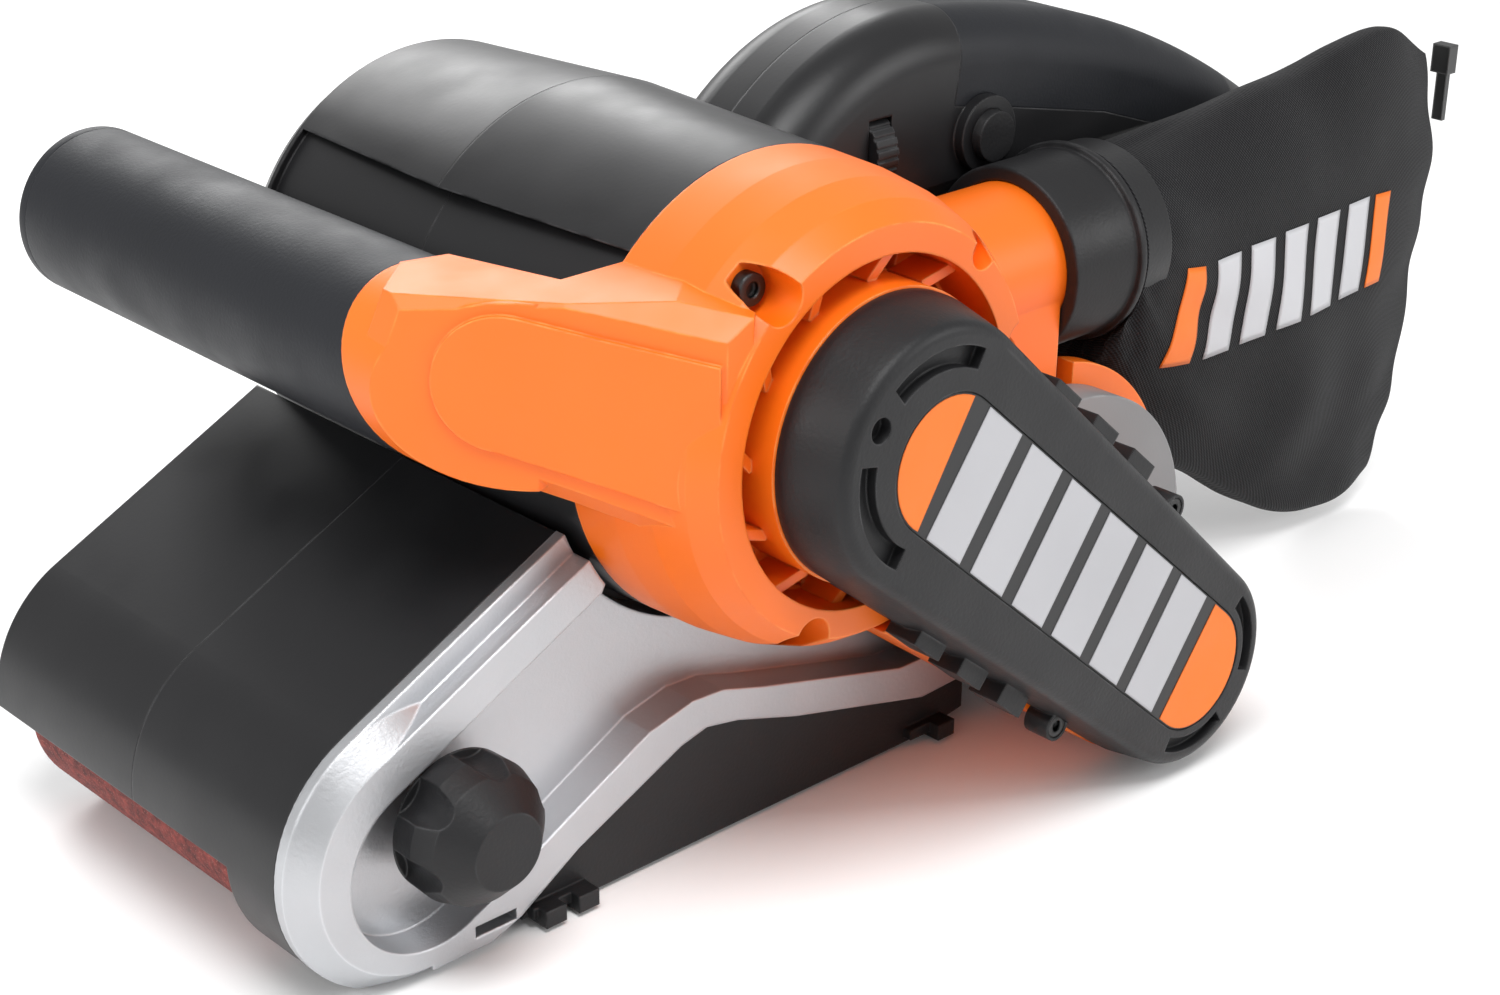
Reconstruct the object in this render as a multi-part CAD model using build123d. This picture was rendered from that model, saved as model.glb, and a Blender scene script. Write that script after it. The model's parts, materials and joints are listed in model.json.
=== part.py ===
from build123d import *
import os
from math import atan2, cos, hypot, pi, radians, sin, sqrt

# Handheld belt sander with a transverse motor, in millimetres.
# +Z is up, -X is forward and -Y is the side with the drive cover. The sanding belt's lower
# face is at Z = 0, and the origin is at the middle of the sole.

# ---------------------------------------------------------------- driving dimensions
BELT_WIDTH = 76.0
BELT_LOOP = 457.0
BELT_THICK = 1.0
DRUM_R = 21.0
RUN = 0.05                      # running clearance of shafts and of the belt on its drums

BELT_IN_R = DRUM_R + RUN
BELT_OUT_R = BELT_IN_R + BELT_THICK
AXIS_Z = BELT_OUT_R
DRUM_SPAN = (BELT_LOOP - 2 * pi * (BELT_IN_R + BELT_THICK / 2)) / 2
FRONT_X = -DRUM_SPAN / 2
REAR_X = DRUM_SPAN / 2
HALF_BELT = BELT_WIDTH / 2

MOTOR_X = 1.4
MOTOR_Z = 94.0
SPLIT_Y = -8.0                  # parting plane of the black shells and of the rear handle
END_SEAM_Y = -59.6              # black barrel meets the orange motor end here
RING_Y = -91.0                  # outer face of the orange ring
FACE_Y = -107.0                 # outer face of the drive cover
FAR_Y = 46.0                    # far end of the barrel
BARREL_R_SEAM = 46.0
BARREL_R_SPLIT = 47.9
BARREL_R_FAR = 44.5
BARREL_BORE_R = 42.5
RING_OUT_R = 39.0
RING_IN_R = 33.5
BOSS_R = 28.0                   # rim that the drive cover's wide end stands on
BOSS_Y = -92.8
ARM_BEVEL = 4.0                 # bevel round the handle arm's flat front
WALL = 3.0

CASTING_Y = -61.0               # outer face of the silver side frame
CASTING_BACK_Y = -54.0
CASTING_DEEP_Y = -44.0
CASTING_SHELF = 44.0
NOSE_X = -79.5
NOSE_Z = 26.0
NOSE_R = 28.0
SLOPE = radians(27.0)           # rise of the belt cover from its nose to the barrel
CASTING_BEVEL = 4.6
RIM_BAND = 5.6

HANDLE_X = -58.5                # front handle, which lies across the sander
HANDLE_Z = 108.7
HANDLE_R = 17.2
HANDLE_FAR_Y = 75.5
HANDLE_CAP = 4.5
HANDLE_CORE_R = 13.2

SLEEVE_T = 2.5                  # soft skin of the rear handle
REAR_HALF_W = 18.0              # half width of the rear handle

KNOB_X = -73.0
KNOB_Z = 30.5

SPOUT_Y = -44.5
SPOUT_Z = 95.0
SPOUT_R = 17.0
SPOUT_END_X = 112.0
COLLAR_X = 87.0
COLLAR_END_X = 118.0
COLLAR_R = 20.4

PULLEY_Y0, PULLEY_Y1 = -103.0, -93.0
TOOTH_PITCH = 3.0
PINION_TEETH = 11
PULLEY_TEETH = 33
COVER_X, COVER_Z = 81.5, 24.5   # centre of the drive cover's narrow end
COVER_WIDE_R, COVER_NARROW_R = 27.0, 22.8
LEVER_X, LEVER_Y = -38.0, 34.0
TRIGGER_X, TRIGGER_Z = 110.0, 103.0
BUTTON_X, BUTTON_Z = 98.5, 116.8
BUTTON_R = 5.5
DIAL_X, DIAL_Y, DIAL_Z = 67.5, -20.0, 117.5
GLAND_Z = 90.0


# ---------------------------------------------------------------- helpers
def xz_plane(y):
    """Sketch plane whose local axes are the sander's X and Z, at a place along Y."""
    return Plane(origin=(0, y, 0), x_dir=(1, 0, 0), z_dir=(0, -1, 0))


def prism(face, y0, y1):
    """Push an X-Z outline from y0 to y1."""
    return extrude(xz_plane(y1) * face, amount=y1 - y0)


def slab(x0, x1, y0, y1, z0, z1):
    """Block between two corners."""
    block = Box(x1 - x0, y1 - y0, z1 - z0)
    return Pos((x0 + x1) / 2, (y0 + y1) / 2, (z0 + z1) / 2) * block


def disc(x, z, r, y0, y1):
    """Round bar along Y."""
    return prism(Pos(x, z) * Circle(r), y0, y1)


def disc_x(z, y, r, x0, x1):
    """Round bar along X."""
    return Pos(x0, y, z) * Rot(0, 90, 0) * extrude(Circle(r), amount=x1 - x0)


def disc_z(x, y, r, z0, z1):
    """Round bar along Z."""
    return Pos(x, y, z0) * extrude(Circle(r), amount=z1 - z0)


def tube(x, z, r_out, r_in, y0, y1):
    """Hollow round bar along Y."""
    return disc(x, z, r_out, y0, y1) - disc(x, z, r_in, y0 - 1, y1 + 1)


def around(r, count, shape, start=0.0):
    """The same small face repeated on a circle."""
    total = Sketch()
    for k in range(count):
        total += Rot(0, 0, start + 360 * k / count) * Pos(r, 0) * shape
    return total


def outline(*points):
    """Straight-sided face in the X-Z plane."""
    return make_face(Polyline(*points, close=True))


def tapered_slot(ax, az, ar, bx, bz, br):
    """Two circles joined by their outer tangents."""
    length = hypot(bx - ax, bz - az)
    heading = atan2(bz - az, bx - ax)
    lean = atan2(sqrt(length ** 2 - (ar - br) ** 2), ar - br)
    corners = []
    for side in (1, -1):
        turn = heading + side * lean
        pair = [(ax + ar * cos(turn), az + ar * sin(turn)), (bx + br * cos(turn), bz + br * sin(turn))]
        corners += pair if side == 1 else pair[::-1]
    return Pos(ax, az) * Circle(ar) + Pos(bx, bz) * Circle(br) + outline(*corners)


def turned(points, x, z):
    """Solid of revolution about an axis along Y; each point is (radius, y)."""
    face = make_face(Polyline(*points, close=True))
    body = revolve(face, Axis.Y, 360)
    return Pos(x, 0, z) * body


def toothed_wheel(x, z, teeth, y0, y1, bore):
    """Timing pulley with straight-sided grooves."""
    pitch_r = teeth * TOOTH_PITCH / (2 * pi)
    blank = Circle(pitch_r - 0.4)
    grooves = around(pitch_r - 0.4, teeth, Rectangle(1.6, 1.3))
    return prism(Pos(x, z) * (blank - grooves - Circle(bore)), y0, y1)


def shaft_pair(x, z, r_out, r_in, *spans):
    """Identical rings along one axis, each as its own solid."""
    return Compound([tube(x, z, r_out, r_in, y0, y1).solid() for y0, y1 in spans])


def cap_screw(x, y, z, r_head, r_shank, length):
    """Screw whose head faces -Y."""
    head = disc(x, z, r_head, y, y + 2.4) - disc(x, z, r_head * 0.5, y - 1, y + 1.2)
    return head + disc(x, z, r_shank, y + 2.4, y + length)


# ---------------------------------------------------------------- belt and drums
def sanding_belt():
    loop_out = tapered_slot(FRONT_X, AXIS_Z, BELT_OUT_R, REAR_X, AXIS_Z, BELT_OUT_R)
    loop_in = tapered_slot(FRONT_X, AXIS_Z, BELT_IN_R, REAR_X, AXIS_Z, BELT_IN_R)
    return prism(loop_out - loop_in, -HALF_BELT, HALF_BELT)


def front_roller():
    barrel = tube(FRONT_X, AXIS_Z, DRUM_R, 9.0, -HALF_BELT + 0.5, HALF_BELT - 0.5)
    for y0, y1 in ((-HALF_BELT, -30), (30, HALF_BELT)):
        barrel -= tube(FRONT_X, AXIS_Z, 18.0, 11.0, y0, y1)
    return barrel


def roller_bearings():
    return shaft_pair(FRONT_X, AXIS_Z, 9.0, 4.0 + RUN, (-37.5, -30.5), (30.5, 37.5))


def front_roller_axle():
    return disc(FRONT_X, AXIS_Z, 4.0, -41.4, 41.4)


def drive_drum():
    core = tube(REAR_X, AXIS_Z, 18.5, 5.0, -37.5, 37.5)
    for y0, y1 in ((-HALF_BELT, -25), (25, HALF_BELT)):
        core -= tube(REAR_X, AXIS_Z, 15.5, 8.5, y0, y1)
    return core


def drum_sleeve():
    return tube(REAR_X, AXIS_Z, DRUM_R, 18.5, -37.5, 37.5)


def drive_axle():
    return disc(REAR_X, AXIS_Z, 5.0, PULLEY_Y0 - 0.4, 45.0)


def drum_bearings():
    return shaft_pair(REAR_X, AXIS_Z, 11.0, 5.0 + RUN, (-90.0, -83.0), (38.6, 44.6))


def driven_pulley():
    rim = toothed_wheel(REAR_X, AXIS_Z, PULLEY_TEETH, PULLEY_Y0, PULLEY_Y1, 5.0)
    flange = tube(REAR_X, AXIS_Z, 17.0, 5.0, PULLEY_Y1, PULLEY_Y1 + 1.0)
    return rim + flange


def motor_pinion():
    return toothed_wheel(MOTOR_X, MOTOR_Z, PINION_TEETH, PULLEY_Y0, PULLEY_Y1, 3.0)


def timing_belt():
    small = PINION_TEETH * TOOTH_PITCH / (2 * pi)
    large = PULLEY_TEETH * TOOTH_PITCH / (2 * pi)
    outside = tapered_slot(MOTOR_X, MOTOR_Z, small + 1.2, REAR_X, AXIS_Z, large + 1.2)
    inside = tapered_slot(MOTOR_X, MOTOR_Z, small - 0.3, REAR_X, AXIS_Z, large - 0.3)
    return prism(outside - inside, PULLEY_Y0 + 0.5, PULLEY_Y1 - 0.5)


# ---------------------------------------------------------------- motor
def motor_shaft():
    stub = disc(MOTOR_X, MOTOR_Z, 3.0, PULLEY_Y0 - 0.4, -88.0)
    body = disc(MOTOR_X, MOTOR_Z, 4.0, -88.0, 38.0)
    return stub + body


def armature_core():
    slots = around(20.5, 14, Rectangle(5.0, 2.2))
    stack = Pos(MOTOR_X, MOTOR_Z) * (Circle(22) - slots - Circle(4))
    return prism(stack, -34, 6)


def armature_windings():
    near = tube(MOTOR_X, MOTOR_Z, 19.0, 4.0, -44, -34)
    far = tube(MOTOR_X, MOTOR_Z, 19.0, 4.0, 6, 14)
    return Compound([near.solid(), far.solid()])


def commutator():
    bars = around(11.2, 24, Rectangle(1.0, 0.5))
    return prism(Pos(MOTOR_X, MOTOR_Z) * (Circle(11) - bars - Circle(4)), 15, 26)


def cooling_fan():
    """Back plate with straight blades around a hub."""
    plate = tube(MOTOR_X, MOTOR_Z, 37.0, 4.0, -62.0, -60.4)
    hub = tube(MOTOR_X, MOTOR_Z, 9.0, 4.0, -70.0, -60.4)
    blades = prism(Pos(MOTOR_X, MOTOR_Z) * around(23.5, 17, Rectangle(25.0, 1.4)), -71.5, -62.0)
    return plate + hub + blades


def motor_bearings():
    return shaft_pair(MOTOR_X, MOTOR_Z, 11.0, 4.0 + RUN, (-84.0, -77.0), (30.0, 37.0))


def field_stator():
    yoke = Circle(40.0) - Circle(24.0)
    windows = around(29.0, 2, Rectangle(13.0, 22.0), 90)
    return prism(Pos(MOTOR_X, MOTOR_Z) * (yoke - windows), -36, 8)


def field_coils():
    coil = Rectangle(12.6, 21.6) - Rectangle(5.0, 14.0)
    pair = [Pos(MOTOR_X, MOTOR_Z + side * 29.0) * Rot(0, 0, 90) * coil for side in (1, -1)]
    return Compound([prism(Pos(0, 0) * one, -42, 12).solid() for one in pair])


def brush_holders():
    solids = []
    for side in (1, -1):
        tube_x = MOTOR_X + side * 24.5
        holder = slab(tube_x - 11, tube_x + 11, 15.5, 25.5, MOTOR_Z - 6, MOTOR_Z + 6)
        pocket = slab(tube_x - 12, tube_x + 12, 17.5, 23.5, MOTOR_Z - 4, MOTOR_Z + 4)
        solids.append((holder - pocket).solid())
    return Compound(solids)


def carbon_brushes():
    solids = []
    for side in (1, -1):
        block_x = MOTOR_X + side * 19.2
        block = slab(block_x - 7.5, block_x + 7.5, 17.6, 23.4, MOTOR_Z - 3.9, MOTOR_Z + 3.9)
        solids.append((block - disc(MOTOR_X, MOTOR_Z, 11.0 + RUN, 10, 30)).solid())
    return Compound(solids)


# ---------------------------------------------------------------- orange motor end
MITRE = Plane(origin=(-66.0, -33.3, 124.4), x_dir=(0.97, -0.243, 0), z_dir=(-0.225, -0.898, 0.377))


def arm_front(distance_in=0.0):
    """Plane of the arm's flat front. Its x axis runs from the handle to the ring, its y axis up."""
    along = Vector(0.665, -0.747, 0)
    outward = Vector(-0.747, -0.665, 0)
    origin = Vector(-75.2, -45.0, 0) - outward * distance_in
    return Plane(origin=origin, x_dir=along, z_dir=outward)


def handle_arm():
    """Blade that runs from the front handle back to the ring, with the stub that the grip meets."""
    flat = make_face(Polyline(
        (0.8, 112.5), (4.9, 123.8), (33.0, 125.4), (60.5, 120.2), (60.5, 83.0), (35.1, 91.8), (4.0, 101.5),
        close=True,
    ))
    wider = offset(flat, ARM_BEVEL, kind=Kind.INTERSECTION)
    blade = loft([arm_front() * flat, arm_front(ARM_BEVEL) * wider], ruled=True)
    blade += extrude(arm_front(ARM_BEVEL) * wider, amount=-30)
    blade &= slab(-100, 0, -90.8, 0, 60, 126.0)
    beyond = extrude(MITRE * Rectangle(140, 140), amount=-80)
    ahead = extrude(arm_front() * Rectangle(400, 400), amount=60)
    back = Plane(origin=(-50.8, -40, 0), x_dir=(0.253, -0.967, 0), z_dir=(0.967, 0.253, 0))
    behind = extrude(back * Rectangle(300, 300), amount=60) & slab(-200, 0, END_SEAM_Y, 0, 100, 200)
    stub = disc(HANDLE_X, HANDLE_Z, HANDLE_R, -66.0, -8.0)
    return (blade - behind - beyond) + (stub - beyond - ahead)


def arm_panel():
    """Raised flat on the arm's front, round at the handle end."""
    tongue = make_face(Polyline(
        (17.6, 99.9), (38.7, 93.7), (59.5, 87.2), (59.5, 116.1), (39.0, 120.3), (24.6, 123.5), close=True))
    return extrude(arm_front() * (tongue + Pos(22.2, 111.3) * Circle(12.4)), amount=1.0)


def vent_slots():
    """Openings in the recess floor between the vanes."""
    slots = []
    for k in range(12):
        wedge = Pos(MOTOR_X, MOTOR_Z) * Rot(0, 0, 30 * k + 9) * (Pos(30.4, 0) * Rectangle(4.4, 10.5))
        slots.append(prism(wedge, -86, -70))
    return slots


def vanes():
    """Leaning blades that bridge the recess."""
    blades = []
    for k in range(12):
        leaning = Pos(30.7, 0) * Rot(0, 0, -42) * Rectangle(8.6, 2.0)
        blade = Pos(MOTOR_X, MOTOR_Z) * Rot(0, 0, 30 * k - 6) * leaning
        blades.append(prism(blade, -87.5, -79.0))
    return blades


def ring_point(angle, radius):
    """Seat of a housing screw, as X, Y, Z."""
    return MOTOR_X + radius * cos(radians(angle)), RING_Y + 7.6, MOTOR_Z + radius * sin(radians(angle))


# angle round the ring, distance from the motor axis, pocket radius, pocket depth
SCOOPS = [(128, 39.5, 4.6, 10.0), (247, 39.3, 4.2, 10.0), (12, 39.3, 4.2, 10.0)]


def motor_end_housing():
    shell = turned(
        [(BARREL_BORE_R, END_SEAM_Y), (BARREL_R_SEAM, END_SEAM_Y), (45.6, -70), (44.4, -79),
         (42.2, -86), (RING_OUT_R, RING_Y), (RING_IN_R, RING_Y), (RING_IN_R, -79),
         (BOSS_R, -79), (BOSS_R, BOSS_Y), (BOSS_R - 2.6, BOSS_Y), (BOSS_R - 2.6, -84.6), (11, -84.6),
         (11, -76), (40.5, -76)],
        MOTOR_X, MOTOR_Z)
    case = tapered_slot(MOTOR_X, MOTOR_Z, 31.0, COVER_X, COVER_Z, 23.0)
    case_in = tapered_slot(MOTOR_X, MOTOR_Z, 28.0, COVER_X, COVER_Z, 20.0)
    lower = prism(case, RING_Y, CASTING_Y) - prism(case_in, -88.0, CASTING_Y + 1)
    lower -= disc(MOTOR_X, MOTOR_Z, 41.0, RING_Y - 1, CASTING_Y + 1)
    seat = tube(REAR_X, AXIS_Z, 14.5, 11.0, -90.0, -80.0)
    lower = lower - disc(REAR_X, AXIS_Z, 11.0, -92, -80) + seat
    arm = handle_arm() - disc(MOTOR_X, MOTOR_Z, 37.0, -95, -76) - disc(MOTOR_X, MOTOR_Z, 42.4, -76, 0)
    body = shell + lower + arm
    body -= slab(-120, 60, END_SEAM_Y, 60, 20, 93.0) & disc(MOTOR_X, MOTOR_Z, 60, END_SEAM_Y, 60)
    body -= disc(MOTOR_X, MOTOR_Z, BARREL_R_SPLIT + 0.3, END_SEAM_Y, 60)
    body += arm_panel() - disc(MOTOR_X, MOTOR_Z, 38.5, -95, 0)
    for slot in vent_slots():
        body -= slot
    for blade in vanes():
        body += blade
    for angle, radius, pocket_r, depth in SCOOPS:
        x, _, z = ring_point(angle, radius)
        body -= disc(x, z, pocket_r, RING_Y - 1, RING_Y + depth)
        body -= disc(x, z, 1.6, RING_Y, -70)
    x, _, z = ring_point(47, 38.6)
    return body - disc(x, z, 3.2, RING_Y - 1, RING_Y + 5)


# ---------------------------------------------------------------- drive cover
def cover_axis_point(along, across):
    """Point measured along and across the line from the motor to the drum."""
    length = hypot(COVER_X - MOTOR_X, COVER_Z - MOTOR_Z)
    ux, uz = (COVER_X - MOTOR_X) / length, (COVER_Z - MOTOR_Z) / length
    return MOTOR_X + ux * along - uz * across, MOTOR_Z + uz * along + ux * across


SCREW_LUGS = [cover_axis_point(86.0, side * 25.0) for side in (1, -1)]


def arc_pocket(x, z, r_mid, width, start, sweep, y0, y1):
    """Ring-shaped pocket over part of a turn."""
    ring = Circle(r_mid + width / 2) - Circle(r_mid - width / 2)
    far = r_mid * 3
    half = radians(sweep / 2)
    wedge = outline((0, 0), (far * cos(-half), far * sin(-half)), (far * cos(half), far * sin(half)))
    piece = Rot(0, 0, start + sweep / 2) * (ring & wedge)
    return prism(Pos(x, z) * piece, y0, y1)


def label_slot(grow):
    ax, az = cover_axis_point(2.0, 0)
    bx, bz = cover_axis_point(106.0, 0)
    return tapered_slot(ax, az, 13.5 + grow, bx, bz, 13.5 + grow)


def cover_blank(wide_inset, narrow_inset, y0, y1):
    """The drive cover's outer form, drawn in at each end."""
    wide_r, narrow_r = COVER_WIDE_R - wide_inset, COVER_NARROW_R - narrow_inset
    return prism(tapered_slot(MOTOR_X, MOTOR_Z, wide_r, COVER_X, COVER_Z, narrow_r), y0, y1)


def side_tabs():
    """Stepped tabs along both long sides of the drive cover."""
    tabs = []
    for side in (1, -1):
        for along in (34.0, 50.0, 66.0):
            x, z = cover_axis_point(along, side * 26.2)
            lean = atan2(COVER_Z - MOTOR_Z, COVER_X - MOTOR_X)
            foot = Pos(x, z) * Rot(0, 0, lean * 180 / pi) * Rectangle(9.0, 4.4)
            tabs.append(prism(foot, -98.5, RING_Y))
    return tabs


def drive_cover():
    foot = tapered_slot(MOTOR_X, MOTOR_Z, COVER_WIDE_R + 0.5, COVER_X, COVER_Z, COVER_NARROW_R)
    top = tapered_slot(MOTOR_X, MOTOR_Z, COVER_WIDE_R - 2.2, COVER_X, COVER_Z, COVER_NARROW_R - 1.6)
    flank = loft([xz_plane(-95.0) * foot, xz_plane(FACE_Y) * top])
    body = fillet(flank.faces().sort_by(Axis.Y)[0].edges(), 2.5) + prism(foot, -95.0, RING_Y)
    for x, z in SCREW_LUGS:
        body += disc(x, z, 3.2, -97.0, RING_Y)
    for tab in side_tabs():
        body += tab
    body -= cover_blank(3.0, 2.4, -97.5, -80) + cover_blank(9.0, 2.4, FACE_Y + 3.2, -97.5)
    body -= disc(MOTOR_X, MOTOR_Z, BOSS_R + 0.1, BOSS_Y, -80)
    for x, z in SCREW_LUGS:
        body -= disc(x, z, 1.6, -98, -90)
        body -= disc(x, z, 2.5, -98, -94.5)
    body -= prism(label_slot(0), FACE_Y - 1, FACE_Y + 1.0)
    for start, sweep in ((62, 66), (168, 70)):
        body -= arc_pocket(MOTOR_X, MOTOR_Z, 19.0, 4.0, start, sweep, FACE_Y - 1, FACE_Y + 2.4)
    for start, sweep in ((-20, 62), (-118, 60)):
        body -= arc_pocket(COVER_X, COVER_Z, 16.7, 3.2, start, sweep, FACE_Y - 1, FACE_Y + 2.4)
    hole_x, hole_z = MOTOR_X + 19.0 * cos(radians(148)), MOTOR_Z + 19.0 * sin(radians(148))
    return body - disc(hole_x, hole_z, 2.4, FACE_Y - 1, FACE_Y + 2.6)


def drive_cover_inlay():
    return prism(label_slot(-0.15), FACE_Y + 0.2, FACE_Y + 1.0)


def drive_cover_screws():
    return Compound([cap_screw(x, -96.9, z, 2.4, 1.5, 5.8).solid() for x, z in SCREW_LUGS])


# ---------------------------------------------------------------- side frame
def casting_face(inset):
    """Outline of the side frame's front part, drawn in by an inset."""
    r = NOSE_R - inset
    tangent = (NOSE_X - r * sin(SLOPE), NOSE_Z + r * cos(SLOPE))
    reach = 60.0
    top = (tangent[0] + reach * cos(SLOPE), tangent[1] + reach * sin(SLOPE))
    web = outline(
        tangent, top, (-35, 68 - inset), (60, 66), (100, 60), (108, 42), (104, 14), (49, 11.3),
        (11.9, 20.4), (-4, 25.4), (-12.3, 26.9), (-19, 25.2), (-45, 13.0), (-58.8, 4.2), (-66, 1.5),
        (NOSE_X, 1.5), (NOSE_X, NOSE_Z))
    nose = Pos(NOSE_X, NOSE_Z) * Circle(r)
    floor_cut = Pos(0, -100 + 1.5) * Rectangle(400, 200)
    return web + nose - floor_cut


def recess_face():
    """Outline of the sunk part of the side frame."""
    r = NOSE_R - CASTING_BEVEL - RIM_BAND
    tangent = (NOSE_X + 1.0 - r * sin(SLOPE), NOSE_Z - 2.0 + r * cos(SLOPE))
    reach = 54.0
    top = (tangent[0] + reach * cos(SLOPE), tangent[1] + reach * sin(SLOPE))
    web = outline(
        tangent, top, (-30, 80), (60, 80), (60, 20.5), (42, 20.6), (2, 30.6), (-8, 33.6), (-16, 33.9), (-26.8, 31.2),
        (-53.8, 16.9), (-66, 10.2), (-72, 7.5), (NOSE_X + 1, 6.4), (NOSE_X + 1, NOSE_Z - 2))
    return web + Pos(NOSE_X + 1.0, NOSE_Z - 2.0) * Circle(r)


def side_frame():
    outer = prism(casting_face(0), CASTING_Y + CASTING_BEVEL, CASTING_BACK_Y)
    bevel = loft([xz_plane(CASTING_Y + CASTING_BEVEL) * (Pos(NOSE_X, NOSE_Z) * Circle(NOSE_R)),
                  xz_plane(CASTING_Y) * (Pos(NOSE_X, NOSE_Z) * Circle(NOSE_R - CASTING_BEVEL))])
    bevel -= slab(-200, 200, -80, 0, -20, 1.5)
    front = prism(casting_face(CASTING_BEVEL), CASTING_Y, CASTING_BACK_Y)
    deep = prism(casting_face(3.4), CASTING_BACK_Y, CASTING_DEEP_Y)
    body = outer + front + bevel + deep
    body -= prism(recess_face(), CASTING_Y - 1, CASTING_BACK_Y + 1.0)
    body -= disc(KNOB_X, KNOB_Z, 3.0 + RUN, -62, -40)
    body -= disc(REAR_X, AXIS_Z, 7.0, -62, -40)
    body -= slab(-69.7, -60.0, -62, -53, 4.0, 6.4)
    body -= slab(60.0, 130, -80, 0, 46.7, 90)
    body -= disc(84.0, 36.0, 40.8, -80, -56.4) & slab(91.9, 130, -80, 0, 41.9, 90)
    return body - disc(MOTOR_X, MOTOR_Z, BARREL_R_SPLIT + 0.2, -80, 0)


def lower_side_wall():
    """Black wall that fills the arch under the side frame, with its wear tabs."""
    wall = prism(outline(
        (-57.5, 1.6), (-42, 0.6), (49, 0.6), (64, 3.0), (64, 12.0), (49.2, 11.0), (11.9, 20.1), (-4, 25.1),
        (-12.3, 26.6), (-19, 24.9), (-45, 12.7)), -59.0, -47.0)
    for tab_x in (-55.0, -47.0, 52.0):
        wall += slab(tab_x, tab_x + 5.0, -63.5, -58.0, 0.6, 4.2)
    wall += slab(-56.0, -42.0, -61.0, -58.0, 1.9, 4.2)
    wall += slab(46.0, 57.0, -61.0, -58.0, 1.9, 4.2)
    return wall - prism(casting_face(0), -70, -40)


def platen_frame():
    """Casting inside the belt loop that carries the sole plate and the roller carriage."""
    block = slab(-42, 54, -37.0, 28.0, 4.0, 36.0)
    block -= slab(-14, 50, -34.0, 25.0, 8.0, 32.0)
    block += slab(-42, 54, -CASTING_SHELF, -37.0, 6.0, 34.0)
    block += slab(-14, 54, 28.0, 36.0, 4.0, 36.0)
    block -= slab(-8, 48, 20.0, 40.0, 9.0, 31.0)
    block += slab(-43.5, -14, 27.0, 37.4, 4.0, 11.5) + slab(-43.5, -14, 27.0, 37.4, 32.5, 36.0)
    block -= disc_x(AXIS_Z, 0, 5.0 + RUN, -60, -20)
    block -= disc_x(AXIS_Z, 0, 9.6, -60, -26)
    block -= disc_z(LEVER_X, LEVER_Y, 2.5, 0, 50)
    return block


def sole_plate():
    plate = slab(-54, 54, -37, 37, 2.2, 4.0)
    return plate


def platen_pad():
    return slab(-54, 54, -37, 37, BELT_THICK + RUN, 2.2)


def drum_yoke():
    """Bracket that holds the drum's far bearing inside the belt loop."""
    arm = tapered_slot(62.0, AXIS_Z, 12.0, REAR_X, AXIS_Z, 14.0)
    plate = prism(arm, 38.6, 44.6) + slab(48, 58, 36.0, 44.6, 8.0, 34.0)
    return plate - disc(REAR_X, AXIS_Z, 11.0, 30, 50)


# ---------------------------------------------------------------- roller carriage and lever
def roller_carriage():
    bar = slab(-58, -50, -37.0, 26.0, 14.0, 30.0)
    body = bar + disc_x(AXIS_Z, 0, 5.0, -50, -28)
    for y0, y1 in ((-41.0, -38.3), (38.3, 41.0)):
        body += prism(tapered_slot(FRONT_X, AXIS_Z, 8.5, -56, AXIS_Z, 7.0), y0, y1)
    body += slab(-58, -52, 26.0, 38.3, 16.0, 28.0)
    body += slab(-58, -52, -38.3, -37.0, 16.0, 28.0)
    return body - disc(FRONT_X, AXIS_Z, 4.0, -50, 50)


def tension_spring():
    """Compression spring on the carriage rod, drawn as separate coils."""
    coils = []
    for k in range(5):
        coil = Pos(-47.2 + 4.6 * k, 0, AXIS_Z) * Rot(0, 90, 0) * Torus(7.0, 0.9)
        coils.append(coil.solid())
    return Compound(coils)


def tension_lever():
    knuckle = disc_z(LEVER_X, LEVER_Y, 4.2, 12.5, 31.5)
    blade = slab(-41, 22, 37.5, 41.0, 15.0, 29.0)
    link = slab(-41.0, -35.0, LEVER_Y, 38.0, 15.0, 29.0)
    finger = slab(17, 22, 41.0, 44.5, 15.0, 29.0)
    body = knuckle + blade + link + finger
    return body - disc_z(LEVER_X, LEVER_Y, 2.5 + RUN, 0, 50)


def lever_pin():
    return disc_z(LEVER_X, LEVER_Y, 2.5, 5.0, 35.5)


# ---------------------------------------------------------------- tracking knob
def tracking_knob():
    profile = [(0, -57.0), (9.5, -57.0), (10.5, -58.5), (13.8, -60.5), (14.0, -66.0), (12.6, -70.5),
               (7.4, -76.0), (0, -76.0)]
    body = turned(profile, KNOB_X, KNOB_Z)
    for k in range(6):
        turn = radians(60 * k + 18)
        scallop_x, scallop_z = KNOB_X + 17.4 * cos(turn), KNOB_Z + 17.4 * sin(turn)
        body -= disc(scallop_x, scallop_z, 5.6, -80, -60.6)
    return body


def tracking_screw():
    return disc(KNOB_X, KNOB_Z, 3.0, -57.0, -42.0)


# ---------------------------------------------------------------- front belt cover
def cover_region(inset):
    """Side view of the belt cover, drawn in by an inset."""
    r = NOSE_R - inset
    tangent = (NOSE_X - r * sin(SLOPE), NOSE_Z + r * cos(SLOPE))
    reach = 66.0
    top = (tangent[0] + reach * cos(SLOPE), tangent[1] + reach * sin(SLOPE))
    return Pos(NOSE_X, NOSE_Z) * Circle(r) + outline(tangent, top, (top[0], 20), (NOSE_X, 20), (NOSE_X, NOSE_Z))


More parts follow.
